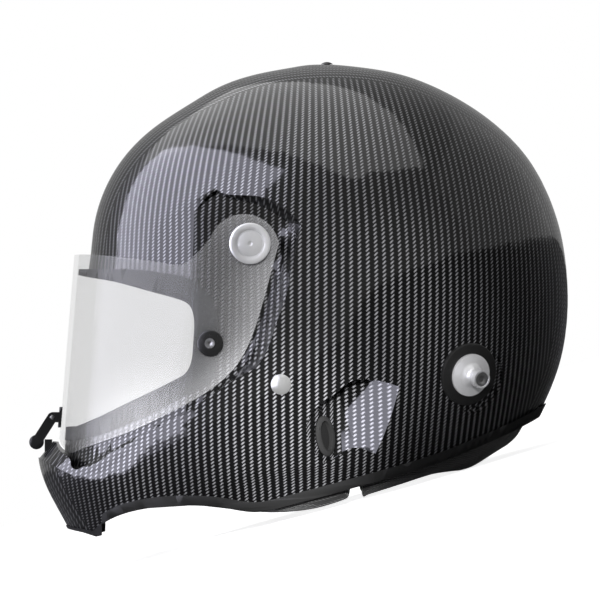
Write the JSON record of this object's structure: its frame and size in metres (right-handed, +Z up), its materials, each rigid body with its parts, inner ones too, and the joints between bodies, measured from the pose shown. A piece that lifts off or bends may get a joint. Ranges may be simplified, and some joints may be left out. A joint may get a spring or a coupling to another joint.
{
  "type": "auto racing helmet",
  "caption": "Closed racing helmet in twill carbon with a clear swinging visor, chin latch, head restraint anchors, cheek air ports, foam liner, fabric pads and chin strap.",
  "frame": {"origin": "centre of the whole helmet's box, on the plane that it stands on", "axes": "+X to the wearer's left, -Y to the front, +Z up; the helmet is stored as it stands on its pads, tipped back about 14.6 degrees from level"},
  "size_m": [0.2558, 0.364, 0.2786],
  "materials": {
    "carbon_shell": "black twill carbon fibre under gloss clear coat",
    "gasket_rubber": "matt black rubber",
    "trim_rubber": "dark grey rubber",
    "visor_sheet": "clear bent sheet with a faint smoke tint",
    "satin_metal": "satin",
    "friction_washer": "plain",
    "black_plastic": "black",
    "bright_steel": "polished",
    "dark_steel": "blackened",
    "carbon_fitting": "dark carbon look",
    "anodised_black": "black anodised",
    "port_plug": "black insert",
    "foam": "black beaded foam",
    "pad_fabric": "black knitted lining",
    "strap_webbing": "black webbing"
  },
  "bodies": {
    "helmet": {"outer_shell": "carbon_shell", "eyeport_gasket": "gasket_rubber", "base_trim": "trim_rubber", "chin_trim": "trim_rubber", "pivot_posts": "satin_metal", "pivot_washers": "friction_washer", "pivot_knobs": "satin_metal", "latch_catch": "black_plastic", "anchor_washers": "anodised_black", "anchor_posts": "satin_metal", "anchor_bolts": "bright_steel", "anchor_nuts": "dark_steel", "strap_rivets": "bright_steel", "port_grommets": "gasket_rubber", "port_plugs": "port_plug", "crown_plug": "black_plastic", "foam_liner": "foam", "chin_foam": "foam", "crown_liner": "pad_fabric", "cheek_pad_left": "pad_fabric", "cheek_pad_right": "pad_fabric", "neck_roll": "pad_fabric", "chin_strap_left": "strap_webbing", "chin_strap_right": "strap_webbing", "strap_rings": "bright_steel"},
    "visor_assembly": {"visor": "visor_sheet", "tearoff_posts": "black_plastic", "tearoff_screws": "bright_steel", "latch_bracket": "carbon_fitting", "latch_pin": "bright_steel"},
    "latch_lever": {"latch_lever": "carbon_fitting"}
  },
  "joints": [
    {"name": "visor_swing", "type": "hinge", "parent": "helmet", "child": "visor_assembly", "pos_m": [0, -0.01088, 0.17465], "axis": [-1, 0, 0], "range_deg": [0, 48]},
    {"name": "latch_release", "type": "hinge", "parent": "visor_assembly", "child": "latch_lever", "pos_m": [0, -0.16323, 0.10303], "axis": [-1, 0, 0], "range_deg": [0, 35], "stiffness_Nm_per_rad": 0.02, "springref_deg": -17.19}
  ]
}
